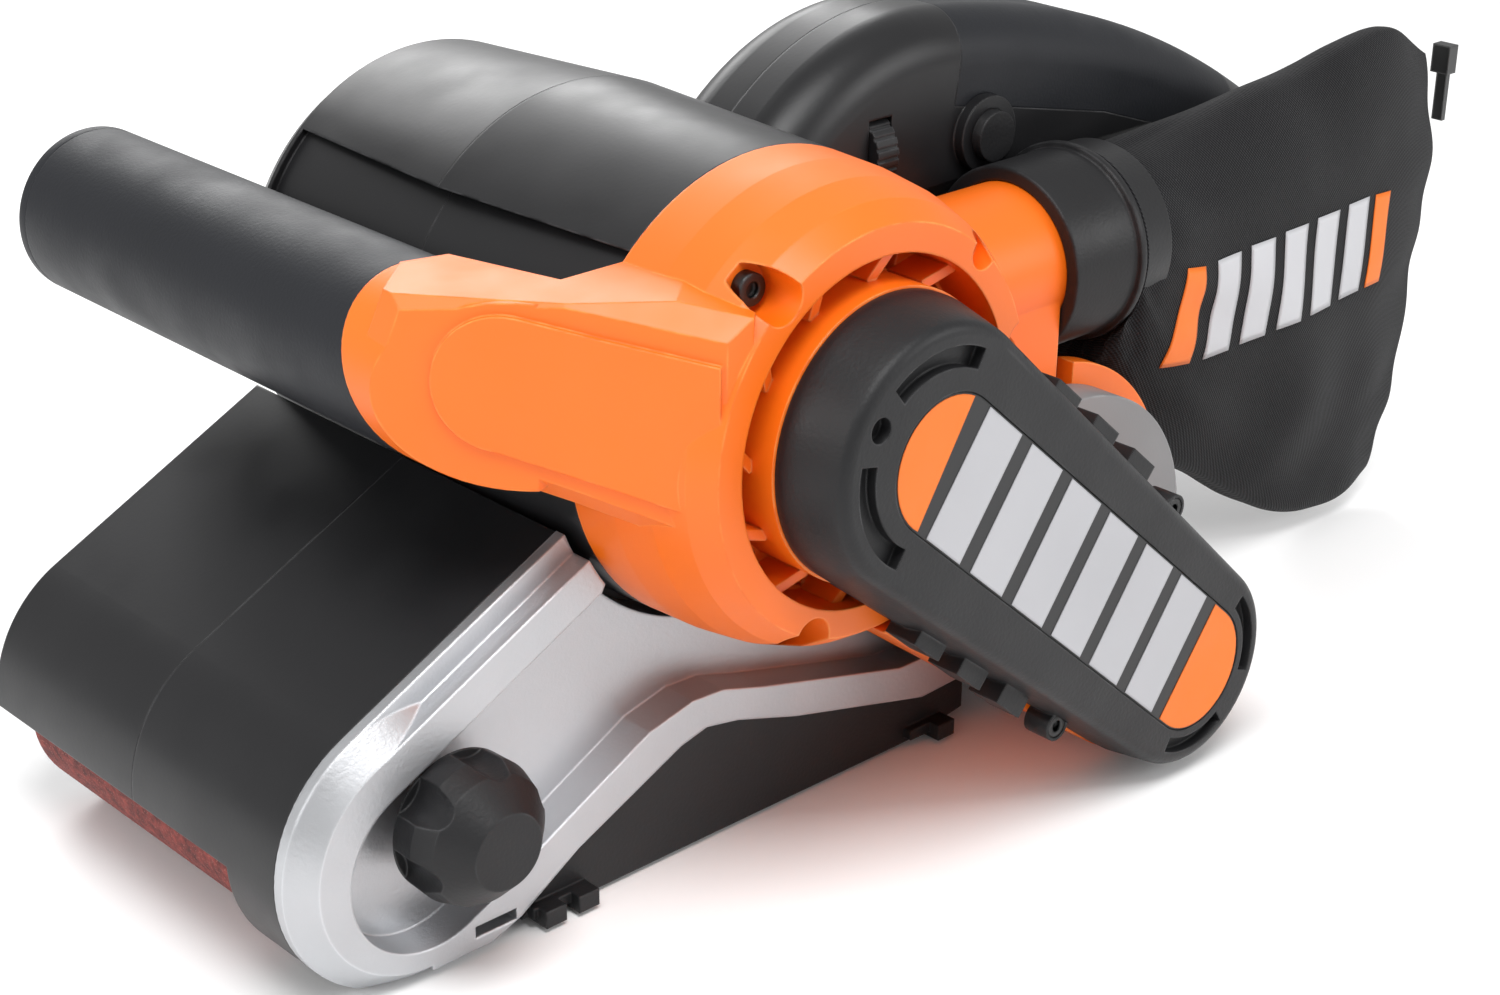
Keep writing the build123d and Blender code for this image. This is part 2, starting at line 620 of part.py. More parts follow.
def belt_cover():
    shell = prism(cover_region(0), CASTING_BACK_Y, 45.0)
    far_edges = shell.faces().sort_by(Axis.Y)[-1].edges()
    shell = chamfer(far_edges, 3.5)
    inside = prism(cover_region(WALL), CASTING_BACK_Y - 1, 41.6)
    shell -= inside
    shell -= slab(-200, 0, -39.0, 60, -20, 25.0)
    shell -= slab(NOSE_X, 0, -80, 60, -20, 46.5)
    shell -= slab(-200, 200, -80, 60, -20, 1.5)
    shell -= disc(MOTOR_X, MOTOR_Z, BARREL_R_SPLIT + 0.4, -80, 60)
    shell -= slab(-40, 60, -80, 60, -20, 200)
    return shell


def front_belt_cover_left():
    return belt_cover() & slab(-200, 100, -80, SPLIT_Y, -20, 200)


def front_belt_cover_right():
    return belt_cover() & slab(-200, 100, SPLIT_Y, 80, -20, 200)


# ---------------------------------------------------------------- main housing
def barrel():
    end_r = BARREL_R_FAR
    return turned(
        [(BARREL_BORE_R, END_SEAM_Y), (BARREL_R_SEAM, END_SEAM_Y), (BARREL_R_SPLIT, SPLIT_Y), (end_r + 1.2, FAR_Y - 5),
         (end_r - 2.0, FAR_Y), (12.0, FAR_Y), (12.0, FAR_Y - 3), (end_r - 5, FAR_Y - 3), (BARREL_BORE_R, FAR_Y - 7)],
        MOTOR_X, MOTOR_Z)


def far_vents():
    """Slots in the barrel's far end, in two banks."""
    slots = []
    for side in (1, -1):
        for k in range(6):
            slots.append(slab(MOTOR_X - 26 + 9.4 * k, MOTOR_X - 21 + 9.4 * k, FAR_Y - 6, FAR_Y + 1,
                              MOTOR_Z + side * 24 - 8, MOTOR_Z + side * 24 + 8))
    return slots


def main_housing():
    saddle = slab(-36, 60, CASTING_DEEP_Y + 0.2, 42, 46.8, 80)
    saddle -= slab(-33, 57, CASTING_DEEP_Y + 3.2, 39, 40, 77)
    saddle -= disc(MOTOR_X, MOTOR_Z, BARREL_BORE_R + 1, -80, 60)
    body = barrel() + saddle
    groove = tube(MOTOR_X, MOTOR_Z, 52.0, 44.2, END_SEAM_Y - 1, 40.0) & slab(-60, -20, -80, 60, 96.0, 127.5)
    body -= groove
    bearing_seat = tube(MOTOR_X, MOTOR_Z, 14.5, 11.0, 29.0, FAR_Y)
    spokes = slab(MOTOR_X - 41, MOTOR_X + 41, 38.0, FAR_Y - 3, MOTOR_Z - 3, MOTOR_Z + 3)
    body += bearing_seat + (spokes - disc(MOTOR_X, MOTOR_Z, 12, 20, 60))
    for slot in far_vents():
        body -= slot
    return body - disc(HANDLE_X, HANDLE_Z, HANDLE_R + 0.3, -80, 80)


def handle_fin():
    """Thin fin that ties the handle's far part to the housing."""
    plan = make_face(Polyline((-47.0, 68.0), (-47.0, 12.0), (-38.0, 12.0), (-30.0, 30.0), (-26.0, 44.0), close=True))
    fin = Pos(0, 0, 108.0) * extrude(plan, amount=4.5)
    return fin - disc(HANDLE_X, HANDLE_Z, HANDLE_R + 0.02, -80, 80)


def main_housing_left():
    return main_housing() & slab(-200, 200, -80, SPLIT_Y, -20, 200)


def main_housing_right():
    half = main_housing() & slab(-200, 200, SPLIT_Y, 80, -20, 200)
    return half + (handle_fin() - disc(MOTOR_X, MOTOR_Z, 43.5, -80, FAR_Y + 1))


# ---------------------------------------------------------------- front handle
def front_handle_core():
    return tube(HANDLE_X, HANDLE_Z, HANDLE_CORE_R, 9.0, -8.0, HANDLE_FAR_Y - HANDLE_CAP)


def front_handle_grip():
    end = HANDLE_FAR_Y - HANDLE_CAP
    sleeve = tube(HANDLE_X, HANDLE_Z, HANDLE_R, HANDLE_CORE_R, -50.0, end)
    return sleeve - grip_mitre() - disc(HANDLE_X, HANDLE_Z, 30, -60, -48)


def grip_mitre():
    return extrude(MITRE * Rectangle(140, 140), amount=80)


def front_handle_end_cap():
    y0 = HANDLE_FAR_Y - HANDLE_CAP
    cap = turned([(0, y0), (HANDLE_R, y0), (HANDLE_R, y0 + 2.4), (HANDLE_R - 2.1, HANDLE_FAR_Y), (0, HANDLE_FAR_Y)],
                 HANDLE_X, HANDLE_Z)
    plug = disc(HANDLE_X, HANDLE_Z, 9.0, y0 - 10.0, y0)
    return cap + plug


# ---------------------------------------------------------------- rear handle
def handle_outline():
    crown = ThreePointArc((34, 119), (58, 138.3), (92, 143.5))
    back = ThreePointArc((92, 143.5), (152, 130.4), (204, 105))
    tail = ThreePointArc((204, 105), (208.5, 86), (190, 68))
    lower = Polyline((190, 68), (142, 48.5), (112, 46.8), (62, 46.8), (62, 80), (34, 119))
    return make_face(crown + back + tail + lower)


def finger_hole():
    return outline((84, 70), (84, 94), (92, 101), (132, 98.5), (163, 89.5), (176, 82), (170, 74), (140, 66), (92, 66))


def rounded_handle():
    body = prism(handle_outline(), SPLIT_Y - REAR_HALF_W, SPLIT_Y + REAR_HALF_W)
    long_edges = body.faces().filter_by(Axis.Y).edges()
    body = fillet(long_edges, 11.0)
    return body - prism(finger_hole(), -60, 60)


def grip_zone():
    """Region of the rear handle that wears the soft skin."""
    zone = outline((94, 150), (90, 124), (108, 120.5), (140, 113.5), (168, 104.0), (186, 96.0), (196, 130))
    return prism(zone, -60, 60)


def skin_core():
    """What the soft skin wraps."""
    tall = prism(handle_outline(), SPLIT_Y - 8.0, SPLIT_Y + 8.0)
    wide_half = REAR_HALF_W - SLEEVE_T
    wide = prism(handle_outline(), SPLIT_Y - wide_half, SPLIT_Y + wide_half)
    return Pos(0, 0, -SLEEVE_T) * tall + Pos(0, 0, -3.2 * SLEEVE_T) * wide


def rear_handle_grip():
    skin = (rounded_handle() & grip_zone()) - skin_core()
    return skin - disc(BUTTON_X, BUTTON_Z, BUTTON_R + 2.9, -80, SPLIT_Y)


def handle_shells():
    near_face = SPLIT_Y - REAR_HALF_W
    shells = rounded_handle() - rear_handle_grip()
    shells -= disc(MOTOR_X, MOTOR_Z, BARREL_R_SPLIT + 0.3, -80, 80)
    shells -= slab(-60, 60.2, -80, 80, 0, 82)
    shells -= disc_x(SPOUT_Z, SPOUT_Y, COLLAR_R + 2.0, 60, 220)
    shells -= slab(106.0, 142.4, SPLIT_Y - 9.6, SPLIT_Y + 9.6, 80.0, 108.0)
    shells -= slab(64, 105.0, SPLIT_Y - 11, SPLIT_Y + 13, 104.0, 124.0)
    shells -= slab(66, 80.0, SPLIT_Y - 14, SPLIT_Y + 14, 50.0, 104.0)
    shells -= disc(BUTTON_X, BUTTON_Z, BUTTON_R + RUN, near_face - 1, SPLIT_Y - 9)
    shells -= disc_x(DIAL_Z, DIAL_Y, 10.0, DIAL_X - 3.4, DIAL_X + 3.4)
    shells -= disc_x(DIAL_Z, DIAL_Y, 1.5 + RUN, DIAL_X - 5.0, DIAL_X + 5.0)
    shells -= disc_x(GLAND_Z, SPLIT_Y, 6.0, 196, 220)
    collar = tube(BUTTON_X, BUTTON_Z, BUTTON_R + 2.9, BUTTON_R + RUN, near_face - 2.6, near_face + 1.0)
    return shells + collar - disc(TRIGGER_X, TRIGGER_Z, 1.5, SPLIT_Y - 12, SPLIT_Y + 12)


def rear_handle_left():
    return handle_shells() & slab(-200, 300, -80, SPLIT_Y, -20, 200)


def rear_handle_right():
    return handle_shells() & slab(-200, 300, SPLIT_Y, 80, -20, 200)


def lock_button():
    return disc(BUTTON_X, BUTTON_Z, BUTTON_R, SPLIT_Y - REAR_HALF_W - 5.0, SPLIT_Y - 8.5)


def speed_dial():
    ribs = around(8.9, 24, Rectangle(1.0, 0.8))
    wheel = extrude(Circle(8.8) - ribs, amount=6.0)
    hub = disc_x(DIAL_Z, DIAL_Y, 1.5, DIAL_X - 4.6, DIAL_X + 4.6)
    return Pos(DIAL_X - 3.0, DIAL_Y, DIAL_Z) * Rot(0, 90, 0) * wheel + hub


def trigger():
    pad = outline((107.5, 103), (138, 100.5), (139, 94.0), (131, 88.5), (121, 87.0), (113, 90.0), (107.0, 97.0))
    body = prism(pad, SPLIT_Y - 9.0, SPLIT_Y + 9.0) + disc(TRIGGER_X, TRIGGER_Z, 3.4, SPLIT_Y - 9.0, SPLIT_Y + 9.0)
    return body - disc(TRIGGER_X, TRIGGER_Z, 1.5 + RUN, -40, 40)


def trigger_pin():
    return disc(TRIGGER_X, TRIGGER_Z, 1.5, SPLIT_Y - 12, SPLIT_Y + 12)


def switch_module():
    return slab(78, 102, SPLIT_Y - 5, SPLIT_Y + 12.9, 106.0, 122.0)


def cord_gland():
    """Inlet in the handle's tail where a power cord would enter."""
    return disc_x(GLAND_Z, SPLIT_Y, 6.0, 198, 214) - disc_x(GLAND_Z, SPLIT_Y, 3.6, 190, 216)


# ---------------------------------------------------------------- dust extraction
def dust_duct():
    """Duct from the rear drum up to the spout, with its orange flange."""
    block = slab(60.2, COLLAR_X - 0.4, -60.9, -27.0, 46.8, 96)
    block -= slab(62.8, COLLAR_X - 3.0, -58.3, -29.6, 40, 94)
    pipe = disc_x(SPOUT_Z, SPOUT_Y, SPOUT_R, 48.4, SPOUT_END_X)
    bore = disc_x(SPOUT_Z, SPOUT_Y, SPOUT_R - 2.5, 52, SPOUT_END_X + 1)
    body = block + pipe - bore
    body -= disc(MOTOR_X, MOTOR_Z, BARREL_R_SPLIT + 0.3, -80, 0) + slab(0, 60.1, CASTING_DEEP_Y, 0, 0, 80.1)
    flange = disc(84.0, 36.0, 40.5, CASTING_Y + 0.05, -56.5) - slab(-200, 92.0, -80, 0, -80, 200)
    return body + (flange - slab(0, 200, -80, 0, -20, 42))


def rear_side_cover():
    """Round grey guard beside the rear drum."""
    plate = disc(83.0, 35.0, 37.0, -70.0, CASTING_Y) - slab(0, 200, -80, 0, -20, 1.6)
    plate -= prism(tapered_slot(MOTOR_X, MOTOR_Z, 31.2, COVER_X, COVER_Z, 23.1), -80, 0)
    plate -= disc(MOTOR_X, MOTOR_Z, 46.8, -80, 0)
    return plate.solids().sort_by(SortBy.VOLUME)[-1]


def rear_belt_guard():
    """Shell behind the rear drum."""
    arc = Pos(REAR_X, AXIS_Z) * (Circle(29.0) - Circle(26.0))
    guard = prism(arc, -43.0, 44.0) & slab(82, 130, -80, 60, 14, 46.2)
    return guard


def bag_collar():
    ring = disc_x(SPOUT_Z, SPOUT_Y, COLLAR_R, COLLAR_X, COLLAR_END_X)
    ring -= disc_x(SPOUT_Z, SPOUT_Y, SPOUT_R + RUN, COLLAR_X - 1, COLLAR_END_X + 1)
    ring += disc_x(SPOUT_Z, SPOUT_Y, COLLAR_R + 1.4, 106, 108) - disc_x(SPOUT_Z, SPOUT_Y, COLLAR_R, 100, 110)
    return ring


def dust_bag():
    """Plain closed form of the fabric bag."""
    side = outline((118, 113), (160, 122), (200, 127), (222, 126), (240, 119), (246, 78), (243, 14), (228, 4.5),
                   (206, 5), (184, 15), (159, 25), (139, 34), (122, 54), (118, 76))
    crown = prism(offset(side, amount=-5.0), SPOUT_Y - 17.0, SPOUT_Y + 14.0)
    return prism(side, SPOUT_Y - 12.0, SPOUT_Y + 9.0) + crown


def zip_slider():
    """Slider and pull tab on the zip along the bag's rear edge."""
    body = slab(243.6, 247.0, SPOUT_Y - 4.0, SPOUT_Y + 1.0, 108.0, 115.0)
    tab = slab(245.0, 246.4, SPOUT_Y - 3.0, SPOUT_Y, 96.0, 108.0)
    return body + tab


def housing_screws():
    """Screws at the bottom of the ring's scooped pockets."""
    heads = [cap_screw(*ring_point(angle, radius), 3.0, 1.6, 9.0).solid() for angle, radius, _, _ in SCOOPS]
    return Compound(heads)


PIECES = [
    sanding_belt, front_roller, roller_bearings, front_roller_axle, drive_drum, drum_sleeve, drive_axle,
    drum_bearings, driven_pulley, motor_pinion, timing_belt, motor_shaft, armature_core, armature_windings,
    commutator, cooling_fan, motor_bearings, field_stator, field_coils, brush_holders, carbon_brushes,
    motor_end_housing, drive_cover, drive_cover_inlay, drive_cover_screws, side_frame, lower_side_wall,
    platen_frame, sole_plate, platen_pad, drum_yoke, roller_carriage, tension_spring, tension_lever, lever_pin,
    tracking_knob, tracking_screw, front_belt_cover_left, front_belt_cover_right, main_housing_left,
    main_housing_right, front_handle_core, front_handle_grip, front_handle_end_cap, rear_handle_left,
    rear_handle_right, rear_handle_grip, lock_button, speed_dial, trigger, trigger_pin, switch_module,
    cord_gland, dust_duct, rear_side_cover, rear_belt_guard, bag_collar, dust_bag, zip_slider, housing_screws,
]


def main():
    os.makedirs("parts", exist_ok=True)
    for piece in PIECES:
        solid = piece()
        solid.label = piece.__name__
        export_step(solid, f"parts/{piece.__name__}.step")


main()
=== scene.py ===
import json
import math

import bmesh
import bpy
from mathutils import Matrix, Vector, noise


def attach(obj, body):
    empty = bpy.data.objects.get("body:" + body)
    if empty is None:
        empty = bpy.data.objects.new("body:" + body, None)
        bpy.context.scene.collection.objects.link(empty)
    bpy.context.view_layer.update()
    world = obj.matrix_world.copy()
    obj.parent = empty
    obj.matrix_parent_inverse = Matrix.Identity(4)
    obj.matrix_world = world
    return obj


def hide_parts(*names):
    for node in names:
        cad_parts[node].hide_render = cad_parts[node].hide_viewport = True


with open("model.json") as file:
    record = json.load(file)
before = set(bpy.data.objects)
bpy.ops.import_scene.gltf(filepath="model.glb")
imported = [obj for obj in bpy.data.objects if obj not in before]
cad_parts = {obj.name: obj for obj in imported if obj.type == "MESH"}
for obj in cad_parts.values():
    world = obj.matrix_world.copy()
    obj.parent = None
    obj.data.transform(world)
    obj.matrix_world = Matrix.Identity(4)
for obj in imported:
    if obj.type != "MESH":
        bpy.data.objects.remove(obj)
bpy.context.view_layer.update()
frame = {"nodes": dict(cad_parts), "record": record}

NODES = frame["nodes"]
MM = 0.001


# ---------------------------------------------------------------- materials
def new_material(name, color, rough, metallic=0.0):
    """A principled material and its nodes, as (material, node tree, shader)."""
    material = bpy.data.materials.new(name)
    material.use_nodes = True
    tree = material.node_tree
    shader = next(n for n in tree.nodes if n.type == "BSDF_PRINCIPLED")
    shader.inputs["Base Color"].default_value = (*color, 1)
    shader.inputs["Roughness"].default_value = rough
    shader.inputs["Metallic"].default_value = metallic
    return material, tree, shader


def object_coordinates(tree):
    return tree.nodes.new("ShaderNodeTexCoord").outputs["Object"]


def noise_node(tree, scale, detail=2.0, roughness=0.5):
    node = tree.nodes.new("ShaderNodeTexNoise")
    node.inputs["Scale"].default_value = scale
    node.inputs["Detail"].default_value = detail
    node.inputs["Roughness"].default_value = roughness
    tree.links.new(object_coordinates(tree), node.inputs["Vector"])
    return node


def spread(tree, source, low, high, out_low=0.0, out_high=1.0):
    """Stretch a value between two bounds."""
    node = tree.nodes.new("ShaderNodeMapRange")
    for key, value in zip(("From Min", "From Max", "To Min", "To Max"), (low, high, out_low, out_high)):
        node.inputs[key].default_value = value
    tree.links.new(source, node.inputs["Value"])
    return node.outputs["Result"]


def mix_colors(tree, factor, first, second):
    """Blend two colours, each a triple or a socket."""
    node = tree.nodes.new("ShaderNodeMix")
    node.data_type = "RGBA"
    tree.links.new(factor, node.inputs["Factor"])
    for key, value in (("A", first), ("B", second)):
        socket = next(s for s in node.inputs if s.name == key and s.type == "RGBA")
        if isinstance(value, tuple):
            socket.default_value = (*value, 1)
        else:
            tree.links.new(value, socket)
    return next(s for s in node.outputs if s.type == "RGBA")


def add_bump(tree, shader, height, strength, distance, normal=None):
    node = tree.nodes.new("ShaderNodeBump")
    node.inputs["Strength"].default_value = strength
    node.inputs["Distance"].default_value = distance
    tree.links.new(height, node.inputs["Height"])
    if normal is not None:
        tree.links.new(normal, node.inputs["Normal"])
    tree.links.new(node.outputs["Normal"], shader.inputs["Normal"])
    return node.outputs["Normal"]


def edge_mask(tree, radius):
    """1 on sharp edges and 0 on flats."""
    bevel = tree.nodes.new("ShaderNodeBevel")
    bevel.samples = 4
    bevel.inputs["Radius"].default_value = radius
    plain = tree.nodes.new("ShaderNodeNewGeometry")
    dot = tree.nodes.new("ShaderNodeVectorMath")
    dot.operation = "DOT_PRODUCT"
    tree.links.new(bevel.outputs["Normal"], dot.inputs[0])
    tree.links.new(plain.outputs["Normal"], dot.inputs[1])
    return spread(tree, dot.outputs["Value"], 0.999, 0.86), bevel.outputs["Normal"]


def moulded(name, color, rough, grain=0.0006, grain_depth=0.00004, bump=0.35,
            edge=None, gloss=0.5, tone=0.10):
    """Moulded plastic or rubber: spark-eroded grain, slight tone drift and rubbed edges."""
    material, tree, shader = new_material(name, color, rough)
    shader.inputs["Specular IOR Level"].default_value = gloss
    drift = spread(tree, noise_node(tree, 22, 3).outputs["Fac"], 0.3, 0.7)
    darker = tuple(c * (1 - tone) for c in color)
    lighter = tuple(min(1, c * (1 + tone)) for c in color)
    tint = mix_colors(tree, drift, darker, lighter)
    mask, rounded = edge_mask(tree, 0.0006)
    if edge:
        worn = tree.nodes.new("ShaderNodeMath")
        worn.operation = "MULTIPLY"
        tree.links.new(mask, worn.inputs[0])
        tree.links.new(spread(tree, noise_node(tree, 160, 3).outputs["Fac"], 0.42, 0.62), worn.inputs[1])
        tint = mix_colors(tree, worn.outputs["Value"], tint, edge)
    tree.links.new(tint, shader.inputs["Base Color"])
    fine = noise_node(tree, 1 / grain, 2)
    rub = noise_node(tree, 60, 4)
    roughness = spread(tree, rub.outputs["Fac"], 0.3, 0.7, rough * 0.86, rough * 1.14)
    tree.links.new(roughness, shader.inputs["Roughness"])
    add_bump(tree, shader, fine.outputs["Fac"], bump, grain_depth, rounded)
    return material


def metal(name, color, rough, grain=0.0008, depth=0.00004, bump=0.4, stretch=None, metallic=1.0):
    """Metal with blasted or drawn grain."""
    material, tree, shader = new_material(name, color, rough, metallic)
    fine = noise_node(tree, 1 / grain, 3, 0.6)
    if stretch:
        mapping = tree.nodes.new("ShaderNodeMapping")
        mapping.inputs["Scale"].default_value = stretch
        tree.links.new(object_coordinates(tree), mapping.inputs["Vector"])
        tree.links.new(mapping.outputs["Vector"], fine.inputs["Vector"])
    broad = noise_node(tree, 35, 4)
    darker = tuple(c * 0.86 for c in color)
    tint = mix_colors(tree, spread(tree, broad.outputs["Fac"], 0.3, 0.7), darker, color)
    mask, rounded = edge_mask(tree, 0.0007)
    # Painted highlight: every sharp edge is lightened to 1.35 times the base colour, standing in for light
    # caught on the edges.
    bright = tuple(min(1, c * 1.35) for c in color)
    tree.links.new(mix_colors(tree, mask, tint, bright), shader.inputs["Base Color"])
    roughness = spread(tree, broad.outputs["Fac"], 0.3, 0.7, rough * 0.85, rough * 1.2)
    tree.links.new(roughness, shader.inputs["Roughness"])
    add_bump(tree, shader, fine.outputs["Fac"], bump, depth, rounded)
    return material


def abrasive(name):
    """Maroon grit with painted glints scattered over the grains."""
    material, tree, shader = new_material(name, (0.16, 0.022, 0.02), 0.8)
    cells = tree.nodes.new("ShaderNodeTexVoronoi")
    cells.inputs["Scale"].default_value = 1500
    tree.links.new(object_coordinates(tree), cells.inputs["Vector"])
    clump = noise_node(tree, 420, 4, 0.7)
    grit = spread(tree, clump.outputs["Fac"], 0.35, 0.65)
    base = mix_colors(tree, grit, (0.07, 0.012, 0.012), (0.27, 0.045, 0.035))
    # Painted glint: a lighter spot at the centre of each grit cell stands in for light glinting off the
    # grains.
    painted_glint = spread(tree, cells.outputs["Distance"], 0.28, 0.05)
    tree.links.new(mix_colors(tree, painted_glint, base, (0.42, 0.16, 0.12)), shader.inputs["Base Color"])
    add_bump(tree, shader, clump.outputs["Fac"], 0.9, 0.0003)
    return material


def twill(name, color=(0.006, 0.006, 0.007)):
    """Black twill: diagonal ribs crossed by weft threads, with lint."""
    material, tree, shader = new_material(name, color, 0.86)
    shader.inputs["Sheen Weight"].default_value = 0.08
    shader.inputs["Specular IOR Level"].default_value = 0.2
    shader.inputs["Sheen Roughness"].default_value = 0.45
    waves = []
    for angle, scale in ((math.radians(38), 560), (math.radians(128), 430)):
        mapping = tree.nodes.new("ShaderNodeMapping")
        mapping.inputs["Rotation"].default_value = (0, angle, 0)
        tree.links.new(object_coordinates(tree), mapping.inputs["Vector"])
        wave = tree.nodes.new("ShaderNodeTexWave")
        wave.bands_direction = "X"
        wave.inputs["Scale"].default_value = scale
        wave.inputs["Distortion"].default_value = 0.6
        wave.inputs["Detail"].default_value = 1.0
        wave.inputs["Detail Scale"].default_value = 3.0
        tree.links.new(mapping.outputs["Vector"], wave.inputs["Vector"])
        waves.append(wave)
    both = tree.nodes.new("ShaderNodeMath")
    both.operation = "MULTIPLY_ADD"
    both.inputs[1].default_value = 0.4
    tree.links.new(waves[1].outputs["Fac"], both.inputs[0])
    tree.links.new(waves[0].outputs["Fac"], both.inputs[2])
    lint = spread(tree, noise_node(tree, 900, 3, 0.8).outputs["Fac"], 0.66, 0.8)
    # Painted shade and painted highlight: along the rib wave the valleys are darkened and the crests
    # lightened, standing in for light on the rib relief.
    shaded_valley, lit_crest = tuple(c * 0.45 for c in color), tuple(c * 2.1 for c in color)
    ribs = mix_colors(tree, waves[0].outputs["Fac"], shaded_valley, lit_crest)
    tree.links.new(mix_colors(tree, lint, ribs, (0.035, 0.035, 0.038)), shader.inputs["Base Color"])
    add_bump(tree, shader, both.outputs["Value"], 0.6, 0.00025)
    return material


BLACK_EDGE = (0.06, 0.06, 0.063)
MATERIALS = {
    "orange_plastic": moulded("orange_plastic", (0.86, 0.150, 0.004), 0.42, grain=0.0007, bump=0.25,
                              edge=(1.0, 0.36, 0.08), tone=0.04),
    "black_plastic": moulded("black_plastic", (0.011, 0.011, 0.012), 0.44, grain=0.0008, bump=0.8,
                             grain_depth=0.00007, edge=BLACK_EDGE, gloss=0.32),
    "satin_black_plastic": moulded("satin_black_plastic", (0.010, 0.010, 0.011), 0.36, grain=0.0009, bump=0.3,
                                   edge=BLACK_EDGE, gloss=0.36),
    "grip_rubber": moulded("grip_rubber", (0.008, 0.009, 0.012), 0.50, grain=0.0007, bump=0.7,
                           grain_depth=0.00006, gloss=0.34),
    "grey_plastic": moulded("grey_plastic", (0.20, 0.205, 0.21), 0.45, edge=(0.4, 0.4, 0.4)),
    "fan_plastic": moulded("fan_plastic", (0.03, 0.03, 0.03), 0.5),
    "drum_rubber": moulded("drum_rubber", (0.02, 0.02, 0.02), 0.7, bump=0.8),
    "belt_rubber": moulded("belt_rubber", (0.015, 0.015, 0.015), 0.6),
    "inlay_film": moulded("inlay_film", (0.010, 0.010, 0.011), 0.3, bump=0.1, gloss=0.4),
    "black_screws": metal("black_screws", (0.06, 0.06, 0.06), 0.35),
    "carbon": moulded("carbon", (0.03, 0.03, 0.03), 0.6),
    "cast_alloy": metal("cast_alloy", (0.55, 0.56, 0.58), 0.40, grain=0.0009, bump=0.75, depth=0.00008,
                        metallic=0.85),
    "aluminium_roller": metal("aluminium_roller", (0.6, 0.6, 0.62), 0.3, stretch=(1, 14, 1)),
    "bearing_steel": metal("bearing_steel", (0.62, 0.62, 0.65), 0.15, bump=0.1),
    "ground_steel": metal("ground_steel", (0.55, 0.56, 0.58), 0.25, stretch=(1, 14, 1)),
    "spring_steel": metal("spring_steel", (0.42, 0.42, 0.44), 0.35, stretch=(10, 1, 1)),
    "pressed_steel": metal("pressed_steel", (0.38, 0.39, 0.42), 0.38),
    "lamination": metal("lamination", (0.16, 0.17, 0.19), 0.45, stretch=(1, 20, 1)),
    "copper": metal("copper", (0.62, 0.24, 0.10), 0.35, stretch=(1, 12, 1)),
    "holder_brass": metal("holder_brass", (0.58, 0.42, 0.15), 0.3),
    "zip_metal": metal("zip_metal", (0.10, 0.10, 0.10), 0.35),
    "graphite_pad": moulded("graphite_pad", (0.03, 0.03, 0.033), 0.65, bump=0.9, grain=0.0012),
    "abrasive_belt": abrasive("abrasive_belt"),
    "bag_fabric": twill("bag_fabric"),
    "print_orange": moulded("print_orange", (0.83, 0.17, 0.01), 0.55, tone=0.05),
    "print_silver": moulded("print_silver", (0.42, 0.42, 0.44), 0.42, bump=0.15, tone=0.04),
    "print_white": moulded("print_white", (0.50, 0.50, 0.52), 0.6, tone=0.05),
}

for part in frame["record"]["subparts"]:
    node = NODES[part["node"]]
    node.data.materials.clear()
    node.data.materials.append(MATERIALS[part["material_slot"]])


# ---------------------------------------------------------------- camera, floor and light
def build_camera():
    azimuth, elevation, roll = math.radians(-43.591), math.radians(24.145), math.radians(0.738)
    distance, target = 570.35 * MM, Vector((36.92, -20.52, 47.37)) * MM
    back = Vector((math.sin(azimuth) * math.cos(elevation), -math.cos(azimuth) * math.cos(elevation),
                   math.sin(elevation)))
    right = (-back).cross(Vector((0, 0, 1))).normalized()
    up = right.cross(-back)
    tilted_right = math.cos(roll) * right + math.sin(roll) * up
    tilted_up = -math.sin(roll) * right + math.cos(roll) * up
    place = target + back * distance
    data = bpy.data.cameras.new("camera")
    data.sensor_width = 36.0
    data.lens = 64.57
    data.clip_start = 0.02
    camera = bpy.data.objects.new("camera", data)
    bpy.context.scene.collection.objects.link(camera)
    camera.matrix_world = Matrix([
        (tilted_right.x, tilted_up.x, back.x, place.x),
        (tilted_right.y, tilted_up.y, back.y, place.y),
        (tilted_right.z, tilted_up.z, back.z, place.z),
        (0, 0, 0, 1)])
    bpy.context.scene.camera = camera


def area_light(name, place, aim, size, power, color=(1, 1, 1)):
    data = bpy.data.lights.new(name, "AREA")
    data.shape = "RECTANGLE"
    data.size, data.size_y = size
    data.energy = power
    data.color = color
    light = bpy.data.objects.new(name, data)
    light.location = place
    light.rotation_euler = (Vector(aim) - Vector(place)).to_track_quat("-Z", "Y").to_euler()
    bpy.context.scene.collection.objects.link(light)


def build_studio():
    bpy.ops.mesh.primitive_plane_add(size=30, location=(0, 0, -0.0004))
    floor = bpy.context.object
    floor.name = "studio_floor"
    material = new_material("studio_floor", (0.95, 0.95, 0.95), 0.8)[0]
    floor.data.materials.append(material)
    world = bpy.data.worlds.new("studio_world")
    bpy.context.scene.world = world
    world.use_nodes = True
    world.node_tree.nodes["Background"].inputs["Color"].default_value = (1, 1, 1, 1)
    world.node_tree.nodes["Background"].inputs["Strength"].default_value = 0.58
    area_light("key", (-0.25, -0.35, 0.95), (0, 0, 0.05), (0.6, 0.4), 7.5)
    area_light("side", (-0.95, 0.15, 0.55), (0, 0, 0.06), (0.5, 0.5), 3)
    area_light("fill", (0.55, -0.85, 0.45), (0.05, -0.05, 0.06), (0.5, 0.4), 3)
    area_light("rim", (0.35, 0.75, 0.55), (0.02, 0, 0.08), (0.7, 0.3), 4)
    bpy.context.scene.view_settings.view_transform = "Standard"


build_camera()
build_studio()


